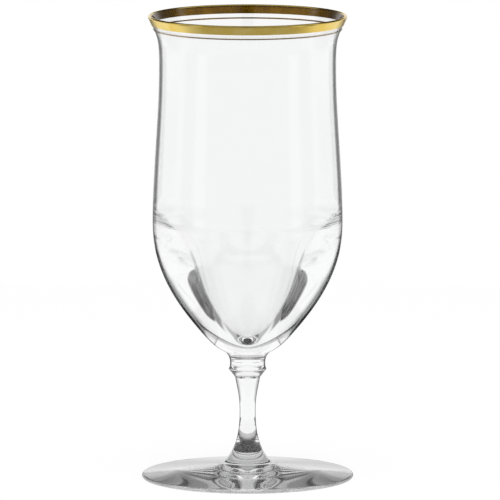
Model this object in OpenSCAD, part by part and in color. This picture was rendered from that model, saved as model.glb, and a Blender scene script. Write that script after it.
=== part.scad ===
// Water goblet: a bowl with a flared lip, a short collared knop, a waisted stem and a round foot,
// with a wide gold band laid over the lip and a gold hairline below it.
// Millimetres, +Z up, origin at the centre of the ring that the foot rests on.
// Leans are degrees from upright. A pull is the length of a curve's handle at its station:
// the longer the pull, the longer the outline keeps the direction that it has there.

/* [Bowl outline] */
// Height from the knop joint to the top of the lip
bowl_height = 136.5; // [125:0.5:150]
// Outside diameter of the rounded lip
lip_d = 78.8; // [76:0.2:84]
// Lean of the flare at the lip
lip_lean = 22; // [12:1:30]
// Pull of the flare at the lip
lip_pull = 8.6; // [5:0.2:10]
// Outside diameter of the waist
waist_d = 70.3; // [66:0.1:73]
// Depth of the waist below the top of the lip
waist_drop = 20; // [16:0.5:26]
// Pull of the flare at the waist
waist_pull = 12; // [6:0.5:14]
// Outside diameter of the belly
belly_d = 75.6; // [70:0.1:80]
// Height of the belly above the knop joint
belly_rise = 53.5; // [46:0.5:62]
// Pull of the lower wall at the belly
belly_pull = 18.5; // [12:0.5:24]
// Outside diameter at the flank, where the wall turns into the bottom
flank_d = 36; // [32:0.5:42]
// Height of the flank above the knop joint
flank_rise = 9.4; // [8:0.2:12]
// Lean of the wall at the flank
flank_lean = 41; // [36:1:46]
// Pull of the wall above the flank
flank_pull = 16; // [8:0.5:20]
// Pull of the bottom below the flank
bottom_pull = 11; // [6:0.5:12]
// Lean of the bottom where it meets the knop
base_lean = 30; // [15:1:45]
// Pull of the bottom at the knop
base_pull = 4; // [1:0.2:5]

/* [Bowl wall] */
// Wall at the rounded lip
lip_wall = 1.2; // [0.8:0.05:1.8]
// Wall at the waist
waist_wall = 1; // [0.7:0.05:1.8]
// Thin wall at the height of the belly, from which it changes evenly to the wall at the waist
belly_wall = 1.2; // [0.8:0.05:2]
// Height above the belly at which the thin wall ends and the thick bottom begins
hollow_rise = 5; // [0:0.5:8]
// Pull of the inside where the thick bottom begins: the shorter it is, the sooner the wall thickens
hollow_pull = 8; // [5:0.5:12]
// Glass between the middle of the inside and the knop joint
floor_thickness = 9.5; // [8:0.1:11]
// Pull of the inside at the middle of the floor: the longer it is, the wider the floor
floor_pull = 10.6; // [6:0.2:12]

/* [Knop] */
// Height from the stem joint to the bowl joint
knop_height = 8.3; // [7:0.1:12]
// Diameter of the joint with the bowl
knop_top_d = 14.9; // [13:0.1:17]
// Diameter of the hollow neck between the joint and the ring
knop_neck_d = 14; // [12:0.1:14.5]
// Diameter of the ring
knop_ring_d = 15; // [14:0.1:17]
// Height of the ring above the stem joint
knop_ring_rise = 3.5; // [2.5:0.1:4.5]
// Radius of the ring's rounded edge
knop_ring_round = 0.5; // [0.2:0.05:0.8]

/* [Stem] */
// Length from the foot joint to the knop joint
stem_length = 32.2; // [26:0.2:45]
// Diameter of the joint with the knop
stem_top_d = 9.9; // [8.5:0.1:11]
// Lean of the stem at the knop
stem_top_lean = 10; // [2:1:18]
// Pull of the stem at the knop
stem_top_pull = 5; // [2:0.2:6]
// Diameter at the slimmest place
stem_slim_d = 6.3; // [5:0.1:8]
// Height of the slimmest place above the foot joint
stem_slim_rise = 18.4; // [15:0.2:20]
// Pull above the slimmest place
stem_slim_pull = 6.5; // [2:0.5:8]
// Pull below the slimmest place
stem_flare_pull = 12; // [6:0.5:14]
// Diameter of the joint with the foot
stem_foot_d = 15.6; // [13:0.1:18]
// Lean of the flare at the foot joint
stem_foot_lean = 34; // [20:1:45]
// Pull of the flare at the foot joint
stem_foot_pull = 2.6; // [1:0.1:4]

/* [Foot] */
// Height from the resting ring to the stem joint
foot_height = 8; // [7:0.1:11]
// Outside diameter
foot_d = 84.2; // [74:0.2:94]
// Thickness of the rounded edge
foot_edge = 1.6; // [1.2:0.1:2.4]
// Diameter of the shoulder, where the flat of the foot turns up to the stem
foot_shoulder_d = 27; // [23:0.5:34]
// Height of the shoulder
foot_shoulder_rise = 4.9; // [3.6:0.1:5.5]
// Pull of the flat at the shoulder
foot_shoulder_pull = 3; // [1:0.2:3.6]
// Pull of the shoulder's upper end at the stem joint
foot_collar_pull = 2.2; // [0.6:0.1:2.6]
// Width of the flat ring that the foot rests on
foot_ring_width = 4; // [2:0.5:8]
// Height of the shallow hollow in the underside
foot_hollow = 1.4; // [0.6:0.1:2]

/* [Gold] */
// Thickness of the gold on the glass
gold_thickness = 0.1; // [0.06:0.01:0.2]
// Height of the wide band, from its lower edge to the top of the lip
band_height = 3.6; // [2:0.1:6]
// Height of the bare glass between the band and the hairline
gold_gap = 1.5; // [0.8:0.1:3]
// Height of the hairline
hairline_height = 0.5; // [0.3:0.05:1]

/* [Hidden] */
// Short steps along each curve and around each rounded edge
curve_steps = 14;
round_steps = 8;
// A point of a face nearer than this to the end of a stretch is left out of that stretch
end_merge = 0.02;
$fn = 96;

stem_z = foot_height;
knop_z = stem_z + stem_length;
bowl_z = knop_z + knop_height;
lip_z = bowl_z + bowl_height;

function lean(angle) = [sin(angle), cos(angle)];
function reversed(points) = [for (i = [len(points) - 1:-1:0]) points[i]];
function arc(centre, radius, from, to) =
    [for (i = [0:round_steps]) let (a = from + (to - from) * i / round_steps)
        centre + radius * [cos(a), sin(a)]];

// Cubic curve from start to end, shaped by two handles; the start itself is left out
function curve(start, handle_1, handle_2, end) =
    [for (i = [1:curve_steps]) let (t = i / curve_steps, s = 1 - t)
        s * s * s * start + 3 * s * s * t * handle_1 + 3 * s * t * t * handle_2 + t * t * t * end];

// One face of the bowl's thin wall, from the belly up through the waist to the lip
function thin_wall_face(belly, waist, lip) =
    let (third = [0, (waist.y - belly.y) / 3])
    concat(
        curve(belly, belly + third, waist - third, waist),
        curve(waist, waist + [0, waist_pull], lip - lip_pull * lean(lip_lean), lip));

// A face's radius at a height, and the stretches of a face above a height and between two heights
function radius_at(face, z) = lookup(z, [for (p = face) [p.y, p.x]]);
function above(face, z) = concat([[radius_at(face, z), z]], [for (p = face) if (p.y > z + end_merge) p]);
function stretch(face, low, high) = concat(
    [for (p = above(face, low)) if (p.y < high - end_merge) p],
    [[radius_at(face, high), high]]);

lip_centre = [lip_d / 2 - lip_wall / 2, lip_z - lip_wall / 2];
lip_round = arc(lip_centre, lip_wall / 2, -lip_lean, 180 - lip_lean);
bowl_base = [knop_top_d / 2, bowl_z];
flank_outside = [flank_d / 2, bowl_z + flank_rise];
belly_outside = [belly_d / 2, bowl_z + belly_rise];
belly_inside = belly_outside - [belly_wall, 0];
waist_outside = [waist_d / 2, lip_z - waist_drop];
waist_inside = waist_outside - [waist_wall, 0];
floor_middle = [0, bowl_z + floor_thickness];

bottom_outside = curve(
    bowl_base, bowl_base + base_pull * lean(base_lean),
    flank_outside - bottom_pull * lean(flank_lean), flank_outside);
wall_outside = concat(
    curve(
        flank_outside, flank_outside + flank_pull * lean(flank_lean),
        belly_outside - [0, belly_pull], belly_outside),
    thin_wall_face(belly_outside, waist_outside, lip_round[0]));

// The inside: a thick bottom's curve up to the height where it meets the thin wall, then the thin wall's face
thin_inside = above(
    concat([belly_inside], thin_wall_face(belly_inside, waist_inside, lip_round[round_steps])),
    belly_inside.y + hollow_rise);
hollow_top = thin_inside[0];
hollow_top_way = (thin_inside[1] - hollow_top) / norm(thin_inside[1] - hollow_top);
hollow = concat(
    [floor_middle],
    curve(
        floor_middle, floor_middle + [floor_pull, 0],
        hollow_top - hollow_pull * hollow_top_way, hollow_top),
    [for (i = [1:len(thin_inside) - 1]) thin_inside[i]]);

// A thin layer of gold on the right-hand side of a line of points
function gold_layer(line) = concat(line, reversed(
    [for (i = [0:len(line) - 1])
        let (along = line[min(i + 1, len(line) - 1)] - line[max(i - 1, 0)])
        line[i] + gold_thickness * [along.y, -along.x] / norm(along)]));

band_z = lip_z - band_height;
hairline_top_z = band_z - gold_gap;

module turned(outline, tint) {
    color(tint)
    rotate_extrude()
    polygon(outline);
}

clear_glass = [0.86, 0.9, 0.91, 0.4];
bright_gold = [0.8, 0.62, 0.24];

module bowl() {
    turned(concat(
        [[0, bowl_z], bowl_base],
        bottom_outside,
        wall_outside,
        [for (i = [1:round_steps - 1]) lip_round[i]],
        reversed(hollow)), clear_glass);
}

// Collar between stem and bowl: a cone up to a rounded ring, then a hollow neck
module knop() {
    ring = arc([knop_ring_d / 2 - knop_ring_round, knop_z + knop_ring_rise], knop_ring_round, -45, 70);
    ring_end = ring[round_steps];
    // The handles' radius that brings the neck's middle to its stated diameter
    neck_pull_r = (8 * knop_neck_d / 2 - ring_end.x - bowl_base.x) / 6;
    neck_third = (bowl_z - ring_end.y) / 3;
    turned(concat(
        [[0, knop_z], [stem_top_d / 2, knop_z]],
        ring,
        curve(
            ring_end, [neck_pull_r, ring_end.y + neck_third],
            [neck_pull_r, bowl_z - neck_third], bowl_base),
        [[0, bowl_z]]), clear_glass);
}

module stem() {
    foot_end = [stem_foot_d / 2, stem_z];
    slim = [stem_slim_d / 2, stem_z + stem_slim_rise];
    knop_end = [stem_top_d / 2, knop_z];
    turned(concat(
        [[0, stem_z], foot_end],
        curve(foot_end, foot_end + stem_foot_pull * lean(-stem_foot_lean), slim - [0, stem_flare_pull], slim),
        curve(slim, slim + [0, stem_slim_pull], knop_end - stem_top_pull * lean(stem_top_lean), knop_end),
        [[0, knop_z]]), clear_glass);
}

// Round foot: a shallow cone with a rounded edge, hollowed underneath inside a flat resting ring
module foot() {
    edge_centre = [foot_d / 2 - foot_edge / 2, foot_edge / 2];
    shoulder = [foot_shoulder_d / 2, foot_shoulder_rise];
    fall = atan2(shoulder.y - foot_edge, edge_centre.x - shoulder.x);
    stem_end = [stem_foot_d / 2, foot_height];
    ring_inside = [edge_centre.x - foot_ring_width, 0];
    turned(concat(
        [[0, foot_hollow]],
        curve([0, foot_hollow], [ring_inside.x / 3, foot_hollow], [ring_inside.x * 2 / 3, 0], ring_inside),
        arc(edge_centre, foot_edge / 2, -90, 90 - fall),
        [shoulder],
        curve(
            shoulder, shoulder + foot_shoulder_pull * [-cos(fall), sin(fall)],
            stem_end + foot_collar_pull * lean(180 - stem_foot_lean), stem_end),
        [[0, foot_height]]), clear_glass);
}

module gold_rim_band() {
    turned(gold_layer(concat(
        stretch(wall_outside, band_z, lip_round[0].y),
        [for (i = [1:round_steps]) lip_round[i]])), bright_gold);
}

module gold_hairline() {
    turned(gold_layer(stretch(wall_outside, hairline_top_z - hairline_height, hairline_top_z)), bright_gold);
}

bowl();
knop();
stem();
foot();
gold_rim_band();
gold_hairline();
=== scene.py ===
import math
import bmesh
import bpy
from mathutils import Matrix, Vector


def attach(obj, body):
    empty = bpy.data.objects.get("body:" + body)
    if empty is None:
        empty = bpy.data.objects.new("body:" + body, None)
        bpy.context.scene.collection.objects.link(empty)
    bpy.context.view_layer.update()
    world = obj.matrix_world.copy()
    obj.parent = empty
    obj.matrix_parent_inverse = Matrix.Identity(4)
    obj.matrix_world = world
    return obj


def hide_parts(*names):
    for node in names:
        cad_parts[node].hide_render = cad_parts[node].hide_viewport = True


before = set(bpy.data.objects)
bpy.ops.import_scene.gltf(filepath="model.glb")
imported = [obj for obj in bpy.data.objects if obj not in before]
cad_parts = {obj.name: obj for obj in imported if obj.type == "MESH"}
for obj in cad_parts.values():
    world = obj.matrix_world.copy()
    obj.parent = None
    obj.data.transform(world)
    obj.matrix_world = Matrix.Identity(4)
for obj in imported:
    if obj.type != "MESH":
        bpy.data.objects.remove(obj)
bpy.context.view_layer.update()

MM = 0.001
WHITE = (1.0, 1.0, 1.0, 1.0)


# Outlines: the turned profile of each node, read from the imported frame

SAME_RING = 0.01 * MM  # rings nearer to each other than this are one
STRAIGHT = math.radians(0.01)  # an outline's own points turn by more than this
CORNER = math.radians(35)  # turns above this stay sharp
WALL_RATIO = 3  # a stretch this many times as long as the next one is a wall
LONG_STEP = 2.0 * MM  # longest step along a smooth run
WIDE_TURN = math.radians(2.5)  # widest turn within one step


def ring_path(node):
    """The rings of a turned node in order along its outline, and whether the outline is a loop."""
    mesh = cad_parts[node].data
    rings, cells, ring_of = [], {}, []
    for vertex in mesh.vertices:
        spot = Vector((math.hypot(vertex.co.x, vertex.co.y), vertex.co.z))
        column, row = round(spot.x / SAME_RING), round(spot.y / SAME_RING)
        around = [(column + i, row + j) for i in (-1, 0, 1) for j in (-1, 0, 1)]
        known = [cells[cell] for cell in around if cell in cells]
        if not known:
            rings.append(spot)
        cells.setdefault((column, row), known[0] if known else len(rings) - 1)
        ring_of.append(cells[(column, row)])
    next_to = [set() for _ in rings]
    for edge in mesh.edges:
        one, other = (ring_of[index] for index in edge.vertices)
        if one != other:
            next_to[one].add(other)
            next_to[other].add(one)
    ends = [ring for ring, others in enumerate(next_to) if len(others) == 1]
    path = [min(ends, key=lambda ring: rings[ring].y) if ends else 0]
    while True:
        onward = [ring for ring in sorted(next_to[path[-1]]) if ring not in path]
        if not onward:
            return [rings[ring] for ring in path], not ends
        path.append(onward[0])


def turn_at(before, here, after):
    """How far the outline turns at a point."""
    return (here - before).angle(after - here, 0.0)


def outline(node):
    """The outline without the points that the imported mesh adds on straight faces, and if it is a loop."""
    path, loop = ring_path(node)
    if loop:
        turns = [turn_at(path[i - 1], path[i], path[(i + 1) % len(path)]) for i in range(len(path))]
        first = turns.index(max(turns))
        path = path[first:] + path[:first + 1]
    points = [path[0]]
    for here, after in zip(path[1:], path[2:]):
        if turn_at(points[-1], here, after) > STRAIGHT:
            points.append(here)
    return points + [path[-1]], loop


def tangent(before, here, after):
    """Direction of a smooth curve through three points; an arc that meets a long wall takes the wall's."""
    back, ahead = here - before, after - here
    if back.length > WALL_RATIO * ahead.length:
        return back.normalized()
    if ahead.length > WALL_RATIO * back.length:
        return ahead.normalized()
    return (back.normalized() * ahead.length + ahead.normalized() * back.length).normalized()


def end_tangent(chord, neighbour):
    """Direction at the end of a run: its neighbour's, mirrored about the chord, as on an arc."""
    way = chord.normalized()
    return (2 * way.dot(neighbour) * way - neighbour).normalized()


def smooth_run(points):
    """A smooth curve through the points of one run between corners, finely divided."""
    if len(points) < 3:
        return list(points)
    leads = [tangent(*three) for three in zip(points, points[1:], points[2:])]
    leads.insert(0, end_tangent(points[1] - points[0], leads[0]))
    leads.append(end_tangent(points[-1] - points[-2], leads[-1]))
    fine = [points[0]]
    for start, end, lead_out, lead_in in zip(points, points[1:], leads, leads[1:]):
        length = (end - start).length
        turn = lead_out.angle(lead_in, 0.0)
        steps = max(1, math.ceil(length / LONG_STEP), math.ceil(turn / WIDE_TURN))
        for i in range(1, steps + 1):
            part = i / steps
            fine.append((2 * part**3 - 3 * part**2 + 1) * start
                        + (part**3 - 2 * part**2 + part) * length * lead_out
                        + (3 * part**2 - 2 * part**3) * end
                        + (part**3 - part**2) * length * lead_in)
    return fine


def smooth_outline(points):
    """The whole outline, smooth between its corners, and the places of the corners in it."""
    corners = [i for i in range(1, len(points) - 1)
               if turn_at(points[i - 1], points[i], points[i + 1]) > CORNER]
    stops = [0] + corners + [len(points) - 1]
    fine, sharp = [points[0]], []
    for start, end in zip(stops, stops[1:]):
        fine += smooth_run(points[start:end + 1])[1:]
        sharp.append(len(fine) - 1)
    return fine, sharp[:-1]


# Turned pieces

def in_scene(name, data):
    """A new object in the scene."""
    thing = bpy.data.objects.new(name, data)
    bpy.context.scene.collection.objects.link(thing)
    return thing


def turned(name, points, sharp, loop, segments, surface, joint=None):
    """A closed turned piece; where the outline ends off the axis, a flat joint face closes it."""
    shape = bmesh.new()
    angles = [2 * math.pi * i / segments for i in range(segments)]
    rings = []
    for point in points[:-1] if loop else points:
        if point.x < SAME_RING:
            rings.append([shape.verts.new((0, 0, point.y))] * segments)
        else:
            rings.append([shape.verts.new((point.x * math.cos(angle), point.x * math.sin(angle), point.y))
                          for angle in angles])
    pairs = list(zip(rings, rings[1:])) + ([(rings[-1], rings[0])] if loop else [])
    for low, high in pairs:
        for i in range(segments):
            j = (i + 1) % segments
            corners = dict.fromkeys((low[i], low[j], high[j], high[i]))
            shape.faces.new(list(corners)).smooth = True
    for end in () if loop else (0, -1):
        if points[end].x < SAME_RING:
            continue
        middle = shape.verts.new((0, 0, points[end].y))
        for i in range(segments):
            face = shape.faces.new((rings[end][i], rings[end][(i + 1) % segments], middle))
            face.smooth = False
            face.material_index = 1
    bmesh.ops.recalc_face_normals(shape, faces=shape.faces)
    if shape.calc_volume(signed=True) < 0:
        bmesh.ops.reverse_faces(shape, faces=shape.faces)
    for index in sharp if loop else sharp + [0, -1]:
        ring = rings[index % len(rings)]
        if ring[0] is not ring[1]:
            for i in range(segments):
                shape.edges.get((ring[i], ring[(i + 1) % segments])).smooth = False
    mesh = bpy.data.meshes.new(name)
    shape.to_mesh(mesh)
    shape.free()
    mesh.materials.append(surface)
    if joint and not loop:
        mesh.materials.append(joint)
    return in_scene(name, mesh)


# Nodes

def new_tree(owner):
    """The empty node tree of a material or world."""
    owner.use_nodes = True
    owner.node_tree.nodes.clear()
    return owner.node_tree


def add(tree, kind, inputs=None, **settings):
    """A new node with its settings; each input, by name or number, is a constant or a link."""
    node = tree.nodes.new(kind)
    for key, value in settings.items():
        setattr(node, key, value)
    for key, value in (inputs or {}).items():
        if isinstance(value, bpy.types.NodeSocket):
            tree.links.new(value, node.inputs[key])
        else:
            node.inputs[key].default_value = value
    return node


def math_node(tree, operation, first, second=0.0):
    """The result of one operation on one or two values."""
    return add(tree, "ShaderNodeMath", {0: first, 1: second}, operation=operation).outputs[0]


def product(tree, first, *others):
    """All the factors multiplied."""
    for other in others:
        first = math_node(tree, "MULTIPLY", first, other)
    return first


def without(tree, *factors):
    """1 less the product of the factors."""
    return math_node(tree, "SUBTRACT", 1.0, product(tree, *factors))


def blend(tree, share, first, second):
    """The first value at a share of 0, and the second at 1."""
    return add(tree, "ShaderNodeMix", {0: share, 2: first, 3: second}, data_type="FLOAT").outputs[0]


def scaled(tree, value, source, result, kind="LINEAR"):
    """A value brought from one range to another, and held at its ends."""
    inputs = {"Value": value, "From Min": source[0], "From Max": source[1]}
    inputs.update({"To Min": result[0], "To Max": result[1]})
    return add(tree, "ShaderNodeMapRange", inputs, interpolation_type=kind).outputs["Result"]


def step(tree, value, start, end):
    """Goes smoothly from 0 at start to 1 at end; start may be above end."""
    if start < end:
        return scaled(tree, value, (start, end), (0.0, 1.0), "SMOOTHSTEP")
    return scaled(tree, value, (end, start), (1.0, 0.0), "SMOOTHSTEP")


def between(tree, value, start, full, fading, end):
    """1 from full to fading, and 0 before start and after end."""
    return product(tree, step(tree, value, start, full), step(tree, value, end, fading))


def noise(tree, place, scale, detail):
    """Soft noise about 0.5."""
    return add(tree, "ShaderNodeTexNoise", {"Vector": place, "Scale": scale, "Detail": detail}).outputs["Fac"]


def tones(tree, value, span, colours):
    """Two colours, with all between them over a span of the value."""
    ramp = add(tree, "ShaderNodeValToRGB", {"Fac": value})
    for element, position, colour in zip(ramp.color_ramp.elements, span, colours):
        element.position = position
        element.color = colour
    return ramp.outputs["Color"]


def bump(tree, height, strength, distance):
    """A normal that a height map tilts."""
    inputs = {"Height": height, "Strength": strength, "Distance": distance}
    return add(tree, "ShaderNodeBump", inputs).outputs["Normal"]


def surfaced(material, tree, inputs):
    """The material, with one Principled shader for its surface."""
    shader = add(tree, "ShaderNodeBsdfPrincipled", inputs)
    add(tree, "ShaderNodeOutputMaterial", {"Surface": shader.outputs["BSDF"]})
    return material


# Materials

WHOLE_RANGE = (0.0, 1.0)

# Clear glass, and the painted shade at its edges
CLEAR_AND_EDGE_SHADE_COLOURS = ((0.965, 0.968, 0.968, 1.0), (0.02, 0.021, 0.021, 1.0))
GLASS_INDEX = 1.52
POLISH_SCALE, POLISH_DETAIL = 90.0, 3.0
POLISH_RANGE, POLISH_ROUGHNESS = (0.35, 0.75), (0.0, 0.02)
WAVE_SCALE, WAVE_DETAIL = 110.0, 2.0
WAVE_STRENGTH, WAVE_HEIGHT = 1.0, 0.004 * MM

# Where along the height the painted shade at the edge of the glass is stronger or weaker, and by how much
HEAVY_BOTTOM, HEAVY_GAIN = (56 * MM, 62 * MM, 70 * MM, 112 * MM), 0.22
SLIM_STEM, SLIM_GAIN = (12 * MM, 18 * MM, 48 * MM, 52 * MM), 0.26
UPPER_BOWL, UPPER_LOSS = (100 * MM, 125 * MM), 0.05
BELOW_LIP = (180 * MM, 171 * MM)
EDGE_BLEND, EDGE_SLANT = 0.5, (0.78, 0.91)

FIRED_TONES = ((0.82, 0.59, 0.13, 1.0), (0.92, 0.71, 0.23, 1.0))
THIN_TONES = ((0.32, 0.24, 0.16, 1.0), (0.44, 0.34, 0.22, 1.0))
REVERSE_TONES = ((0.140, 0.068, 0.003, 1.0), (0.240, 0.125, 0.006, 1.0))
PATCH_SPAN, GRAIN_RANGE = (0.35, 0.7), (0.3, 0.7)
GOLD_RELIEF = 0.02 * MM
PATCH_SCALE, PATCH_DETAIL = 140.0, 2.0
STROKE_STRETCH, STROKE_SCALE, STROKE_DETAIL = (60.0, 60.0, 4000.0), 1.0, 4.0
STROKE_ROUGHNESS, STROKE_STRENGTH = (0.12, 0.26), 0.15
REVERSE_SCALE, REVERSE_DETAIL = 180.0, 3.0
REVERSE_ROUGHNESS, REVERSE_STRENGTH = (0.2, 0.35), 0.1


def make_glass():
    """Clear glass with painted shade in its colour, dark where its outer face is seen edge-on."""
    material = bpy.data.materials.new("clear_glass")
    tree = new_tree(material)
    place = add(tree, "ShaderNodeTexCoord").outputs["Object"]
    height = add(tree, "ShaderNodeSeparateXYZ", {"Vector": place}).outputs["Z"]
    side = add(tree, "ShaderNodeNewGeometry").outputs
    spoke = add(tree, "ShaderNodeVectorMath", {0: place, 1: (1.0, 1.0, 0.0)}, operation="MULTIPLY").outputs[0]
    outward = add(tree, "ShaderNodeVectorMath", {0: spoke, 1: side["Normal"]}, operation="DOT_PRODUCT")
    outside = math_node(tree, "GREATER_THAN", outward.outputs["Value"], 0.0)
    slant = add(tree, "ShaderNodeLayerWeight", {"Blend": EDGE_BLEND}).outputs["Facing"]
    slant = math_node(tree, "ADD", slant, product(tree, between(tree, height, *HEAVY_BOTTOM), HEAVY_GAIN))
    slant = math_node(tree, "ADD", slant, product(tree, between(tree, height, *SLIM_STEM), SLIM_GAIN))
    slant = math_node(tree, "SUBTRACT", slant, product(tree, step(tree, height, *UPPER_BOWL), UPPER_LOSS))
    # Painted shade: the glass colour goes dark where the outer face is seen edge-on, below the lip
    edge = product(tree, step(tree, slant, *EDGE_SLANT), without(tree, side["Backfacing"]), outside,
                   step(tree, height, *BELOW_LIP))
    polish = noise(tree, place, POLISH_SCALE, POLISH_DETAIL)
    wave = noise(tree, place, WAVE_SCALE, WAVE_DETAIL)
    return surfaced(material, tree, {
        "Base Color": tones(tree, edge, WHOLE_RANGE, CLEAR_AND_EDGE_SHADE_COLOURS),
        "Roughness": scaled(tree, polish, POLISH_RANGE, POLISH_ROUGHNESS),
        "Normal": bump(tree, wave, WAVE_STRENGTH, WAVE_HEIGHT),
        "Transmission Weight": 1.0,
        "IOR": GLASS_INDEX,
    })


def make_joint():
    """Fused glass has no face inside, so the faces between the pieces let all light pass."""
    material = bpy.data.materials.new("fused_joint")
    return surfaced(material, new_tree(material), {"Base Color": WHITE, "Alpha": 0.0})


def make_gold(name, colours):
    """Fired gold with fine strokes around the lip."""
    material = bpy.data.materials.new(name)
    tree = new_tree(material)
    place = add(tree, "ShaderNodeTexCoord").outputs["Object"]
    stretched = add(tree, "ShaderNodeMapping", {"Vector": place, "Scale": STROKE_STRETCH}).outputs["Vector"]
    strokes = noise(tree, stretched, STROKE_SCALE, STROKE_DETAIL)
    patches = noise(tree, place, PATCH_SCALE, PATCH_DETAIL)
    return surfaced(material, tree, {
        "Base Color": tones(tree, patches, PATCH_SPAN, colours),
        "Roughness": scaled(tree, strokes, GRAIN_RANGE, STROKE_ROUGHNESS),
        "Normal": bump(tree, strokes, STROKE_STRENGTH, GOLD_RELIEF),
        "Metallic": 1.0,
    })


def make_reverse():
    """The underside of the gold, seen through the wall."""
    material = bpy.data.materials.new("fired_gold_reverse")
    tree = new_tree(material)
    place = add(tree, "ShaderNodeTexCoord").outputs["Object"]
    patches = noise(tree, place, REVERSE_SCALE, REVERSE_DETAIL)
    return surfaced(material, tree, {
        "Base Color": tones(tree, patches, PATCH_SPAN, REVERSE_TONES),
        "Roughness": scaled(tree, patches, GRAIN_RANGE, REVERSE_ROUGHNESS),
        "Normal": bump(tree, patches, REVERSE_STRENGTH, GOLD_RELIEF),
        "Metallic": 1.0,
    })


clear_glass = make_glass()
fused_joint = make_joint()
gold_reverse = make_reverse()
gold = {"gold_rim_band": make_gold("fired_gold", FIRED_TONES),
        "gold_hairline": make_gold("fired_gold_thin", THIN_TONES)}


# The goblet

GLASS_SEGMENTS = {"bowl": 256, "knop": 160, "stem": 160, "foot": 256}
GOLD_SEGMENTS = 256
GOLD_THICKNESS = 0.1 * MM
GOLD_BEDDING = 0.03 * MM
ON_THE_GLASS = 0.3 * GOLD_THICKNESS
UNDERSIDE = 0.5 * GOLD_THICKNESS
PLACE_DIGITS = 6  # places are rounded to a micrometre

for node, segments in GLASS_SEGMENTS.items():
    points, loop = outline(node)
    fine, sharp = smooth_outline(points)
    piece = turned(node + "_glass", fine, sharp, loop, segments, clear_glass, fused_joint)
    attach(piece, "root")
    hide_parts(node)

bowl_points = outline("bowl")[0]


def off_the_stretch(point, start, end):
    """Distance of a point from one stretch of an outline."""
    along = (point - start).dot(end - start) / (end - start).length_squared
    return (point - start.lerp(end, min(1.0, max(0.0, along)))).length


def off_the_glass(point):
    """Distance of a point from the bowl's outline."""
    return min(off_the_stretch(point, start, end) for start, end in zip(bowl_points, bowl_points[1:]))


def bedded(points):
    """The gold's outline, with the points that lie on the glass pushed a little way into it."""
    outside = [point for point in points if off_the_glass(point) > ON_THE_GLASS]
    result = []
    for point in points:
        if point in outside:
            result.append(point)
            continue
        above = min(outside, key=lambda other: (other - point).length)
        result.append(point + (point - above).normalized() * GOLD_BEDDING)
    return result


for node, surface in gold.items():
    points, loop = outline(node)
    fine, sharp = smooth_outline(bedded(points))
    piece = turned(node + "_fired", fine, sharp + [0], loop, GOLD_SEGMENTS, surface)
    piece.data.materials.append(gold_reverse)
    distances = {}
    for face in piece.data.polygons:
        radius = math.hypot(face.center.x, face.center.y)
        place = (round(radius, PLACE_DIGITS), round(face.center.z, PLACE_DIGITS))
        if place not in distances:
            distances[place] = off_the_glass(Vector(place))
        face.material_index = int(distances[place] < UNDERSIDE)
    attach(piece, "root")
    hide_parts(node)


# The stage: the camera sees a white floor and backdrop, and rays that come through or off the goblet see dark
# places in them, as around a glass that is photographed;
# those under and beside the foot are the goblet's painted shadow. Their tones and places were set by
# comparing renders with the photo.
# A span with four numbers is where a place starts, is full, fades and ends.

LOST_DEPTH, LOST_SHARE = (12.5, 13.5), 0.4
THROWN_DEPTH = 2.5
AT_LEAST_ONCE = 0.5

# On the floor, in metres: aside on both hands alike, away from the camera, or out from the axis
PAPER_TONES = ((0.80, 0.80, 0.80, 1.0), (0.92, 0.92, 0.92, 1.0))
PAPER_ROUGHNESS = 0.9
FLOOR_GLOW = 0.95
MOTTLE_SCALE, MOTTLE_DETAIL = 160.0, 4.0
MOTTLE_RANGE, MOTTLE_SHARE = (0.4, 0.6), (0.8, 1.0)
# Painted shadow on the floor under the foot and the stem
UNDER_FOOT, FOOT_DARK = (52 * MM, 43 * MM), 0.45
UNDER_MIDDLE, MIDDLE_DARK = (31 * MM, 22 * MM), 0.49
# Painted shadow of the goblet on each side of the foot, and a paler one nearer to it
SHADOW_ASIDE = (53.5 * MM, 59 * MM, 78 * MM, 88 * MM)
SHADOW_AWAY = (-40 * MM, -10 * MM, 68 * MM, 85 * MM)
SHADOW_SLOPE, SHADOW_CUT = 2.6, (-92 * MM, -106 * MM)
INNER_ASIDE = (42 * MM, 50 * MM, 56 * MM, 66 * MM)
INNER_AWAY = (-30 * MM, 0.0, 36 * MM, 50 * MM)
INNER_SHARE, SHADOW_DARK = 0.75, 0.98
BEFORE_GOBLET, BEFORE_DARK = (50 * MM, -120 * MM), 0.55
GAP_BEARING, GAP_OUT, GAP_DARK = (10, 14, 32, 38), (100 * MM, 130 * MM), 0.96

# In the studio, in degrees: how dark, the bearing from straight behind the goblet, and the height
DARK_PLACES = [
    (0.8, (11, 13, 32, 36), (-20, -14, -3.9, -2.9)),  # low, on both sides of the back panel
    (0.9, (168, 174, 181, 182), (22, 28, 46, 52)),  # above the camera
    (0.45, (32, 46, 72, 86), (-8, 1, 32, 46)),  # between the back panel and the side panels
    (0.92, (36, 46, 72, 86), (12, 24, 34, 46)),  # the darkest part of that
    (0.45, (41, 46, 80, 90), (30, 40, 56, 66)),  # higher up
    (0.6, (-2, -1, 44, 52), (12, 18, 62, 72)),  # above the back panel
    (0.75, (10, 18, 46, 54), (12, 18, 40, 50)),  # its two darker sides
]
PANEL_PITCH, PANEL_EDGE = 22.5, (8, 18)
PANELS_FROM, PANELS_HEIGHT, PANELS_DARK = (45, 46), (-32, -26, -16, -11), 0.25
ROOM_FROM, ROOM_DARK = (84, 96), 0.7
SIDE_PANEL, SIDE_PANEL_TOP = (106, 114, 122, 130), (15, 5)
UPPER_BACK, UPPER_BACK_HEIGHT, UPPER_BACK_DARK = (75, 55), (8, 16), 0.65
WORLD_ON_MATT = 0.35


def mirrored(tree, path):
    """1 for a ray that was reflected last, and not refracted."""
    return product(tree, path["Is Glossy Ray"], without(tree, path["Is Transmission Ray"]))


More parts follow.
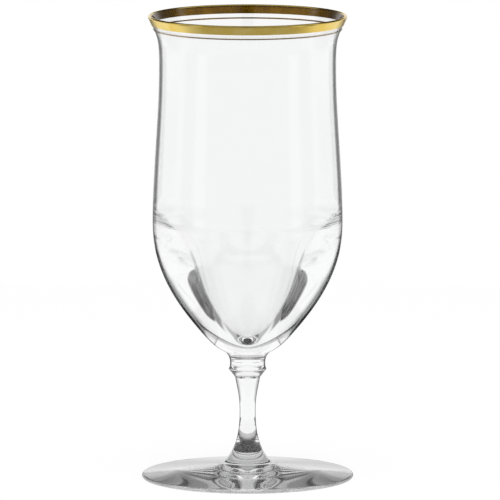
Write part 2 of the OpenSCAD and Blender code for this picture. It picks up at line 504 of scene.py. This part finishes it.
def kept(tree, path):
    """The share of light left to a ray; one thrown about very often inside the glass has lost some."""
    return without(tree, step(tree, path["Ray Depth"], *LOST_DEPTH), LOST_SHARE)


def bearing_of(tree, parts):
    """Angle from straight behind the goblet, on both hands alike, in degrees."""
    turn = math_node(tree, "ARCTAN2", parts["X"], parts["Y"])
    return math_node(tree, "DEGREES", math_node(tree, "ABSOLUTE", turn))


def make_floor():
    """Pale paper that is white to the camera, with the goblet's painted shadow seen through or off the glass.
    """
    material = bpy.data.materials.new("pale_floor")
    tree = new_tree(material)
    path = add(tree, "ShaderNodeLightPath").outputs
    place = add(tree, "ShaderNodeTexCoord").outputs["Object"]
    parts = add(tree, "ShaderNodeSeparateXYZ", {"Vector": place}).outputs
    aside, away = math_node(tree, "ABSOLUTE", parts["X"]), parts["Y"]
    out = add(tree, "ShaderNodeVectorMath", {0: place}, operation="LENGTH").outputs["Value"]
    mottle = noise(tree, place, MOTTLE_SCALE, MOTTLE_DETAIL)
    reflected = mirrored(tree, path)
    # Painted shadow under the foot and the stem, for rays that were thrown about inside the glass
    under = math_node(tree, "ADD", product(tree, step(tree, out, *UNDER_FOOT), FOOT_DARK),
                      product(tree, step(tree, out, *UNDER_MIDDLE), MIDDLE_DARK))
    under = product(tree, under, math_node(tree, "GREATER_THAN", path["Ray Depth"], THROWN_DEPTH))
    # Painted shadow of the goblet on each side of the foot, mottled and cut aslant, and a paler one nearer to
    # it
    askew = math_node(tree, "SUBTRACT", away, product(tree, aside, SHADOW_SLOPE))
    painted_shadow = product(tree, between(tree, aside, *SHADOW_ASIDE), between(tree, away, *SHADOW_AWAY),
                   step(tree, askew, *SHADOW_CUT), scaled(tree, mottle, MOTTLE_RANGE, MOTTLE_SHARE))
    inner = product(tree, between(tree, aside, *INNER_ASIDE), between(tree, away, *INNER_AWAY), INNER_SHARE)
    painted_shadow = math_node(tree, "MAXIMUM", painted_shadow, inner)
    # In reflections only: the floor before the goblet, and a gap behind it on each side
    before = product(tree, step(tree, away, *BEFORE_GOBLET), reflected)
    gap = product(tree, between(tree, bearing_of(tree, parts), *GAP_BEARING), step(tree, out, *GAP_OUT),
                  reflected)
    level = product(tree, without(tree, under), without(tree, painted_shadow, SHADOW_DARK),
                    without(tree, before, BEFORE_DARK), without(tree, gap, GAP_DARK), kept(tree, path))
    level = math_node(tree, "MAXIMUM", level, path["Is Camera Ray"])
    glow = add(tree, "ShaderNodeEmission", {"Color": WHITE, "Strength": level}).outputs["Emission"]
    colour = tones(tree, mottle, WHOLE_RANGE, PAPER_TONES)
    paper = add(tree, "ShaderNodeBsdfPrincipled", {"Base Color": colour, "Roughness": PAPER_ROUGHNESS})
    seen = math_node(tree, "MAXIMUM", path["Is Glossy Ray"], path["Is Transmission Ray"])
    share = blend(tree, path["Is Camera Ray"], seen, FLOOR_GLOW)
    lit = add(tree, "ShaderNodeMixShader", {"Fac": share, 1: paper.outputs["BSDF"], 2: glow})
    add(tree, "ShaderNodeOutputMaterial", {"Surface": lit.outputs["Shader"]})
    return material


def make_surroundings():
    """A studio that is white to the camera and gives matt surfaces an even light."""
    world = bpy.data.worlds.new("studio")
    tree = new_tree(world)
    path = add(tree, "ShaderNodeLightPath").outputs
    way = add(tree, "ShaderNodeTexCoord").outputs["Generated"]
    parts = add(tree, "ShaderNodeSeparateXYZ", {"Vector": way}).outputs
    bearing = bearing_of(tree, parts)
    height = math_node(tree, "DEGREES", math_node(tree, "ARCSINE", parts["Z"]))
    reflected = mirrored(tree, path)
    light = kept(tree, path)
    for dark, bearings, heights in DARK_PLACES:
        here = product(tree, between(tree, bearing, *bearings), between(tree, height, *heights))
        light = product(tree, light, without(tree, here, dark))
    # Through the glass only: low gaps between panels that stand around the sides and the front
    off_panel = math_node(tree, "PINGPONG", bearing, PANEL_PITCH)
    gaps = product(tree, step(tree, off_panel, *PANEL_EDGE), step(tree, bearing, *PANELS_FROM),
                   between(tree, height, *PANELS_HEIGHT), path["Is Transmission Ray"])
    # In reflections only: the room before the goblet, with a panel on each side, and the upper back
    panel = product(tree, between(tree, bearing, *SIDE_PANEL), step(tree, height, *SIDE_PANEL_TOP))
    room = product(tree, step(tree, bearing, *ROOM_FROM), without(tree, panel), reflected)
    upper = product(tree, step(tree, bearing, *UPPER_BACK), step(tree, height, *UPPER_BACK_HEIGHT), reflected)
    light = product(tree, light, without(tree, gaps, PANELS_DARK), without(tree, room, ROOM_DARK),
                    without(tree, upper, UPPER_BACK_DARK))
    on_matt = math_node(tree, "GREATER_THAN", path["Diffuse Depth"], AT_LEAST_ONCE)
    level = blend(tree, on_matt, light, WORLD_ON_MATT)
    level = blend(tree, path["Is Camera Ray"], level, 1.0)
    back = add(tree, "ShaderNodeBackground", {"Color": WHITE, "Strength": level})
    add(tree, "ShaderNodeOutputWorld", {"Surface": back.outputs["Background"]})
    return world


FLOOR_RADIUS, FLOOR_SEGMENTS = 0.55, 96
FLOOR_GAP = 0.1 * MM
floor_shape = bmesh.new()
bmesh.ops.create_circle(floor_shape, cap_ends=True, segments=FLOOR_SEGMENTS, radius=FLOOR_RADIUS)
floor_mesh = bpy.data.meshes.new("floor")
floor_shape.to_mesh(floor_mesh)
floor_shape.free()
floor_mesh.materials.append(make_floor())
floor = in_scene("floor", floor_mesh)
floor.location.z = -FLOOR_GAP
bpy.context.scene.world = make_surroundings()

LAMP_WIDTH, LAMP_POWER = 0.5, 24.0
LAMP_PLACE, LAMP_AIM = Vector((0, -0.25, 1.5)), Vector((0, 0, 0.05))
lamp = bpy.data.lights.new("key", "AREA")
lamp.shape = "RECTANGLE"
lamp.size = lamp.size_y = LAMP_WIDTH
lamp.energy = LAMP_POWER
key = in_scene("key", lamp)
key.location = LAMP_PLACE
key.rotation_euler = (LAMP_AIM - LAMP_PLACE).to_track_quat("-Z", "Y").to_euler()
key.visible_camera = key.visible_glossy = key.visible_transmission = False


# Camera at the photo's angle

ELEVATION = math.radians(7.95)
DISTANCE = 3.45
AIM = Vector((0.95 * MM, 0, 91.2 * MM))
SENSOR_WIDTH, FOCAL_LENGTH = 36.0, 625.2
BOUNCES = 24

lens = bpy.data.cameras.new("camera")
lens.sensor_width = SENSOR_WIDTH
lens.lens = FOCAL_LENGTH
camera = in_scene("camera", lens)
camera.location = AIM + DISTANCE * Vector((0, -math.cos(ELEVATION), math.sin(ELEVATION)))
camera.rotation_euler = (math.pi / 2 - ELEVATION, 0, 0)
bpy.context.scene.camera = camera

bpy.context.scene.view_settings.view_transform = "Standard"
cycles = bpy.context.scene.cycles
cycles.max_bounces = cycles.glossy_bounces = cycles.transmission_bounces = BOUNCES
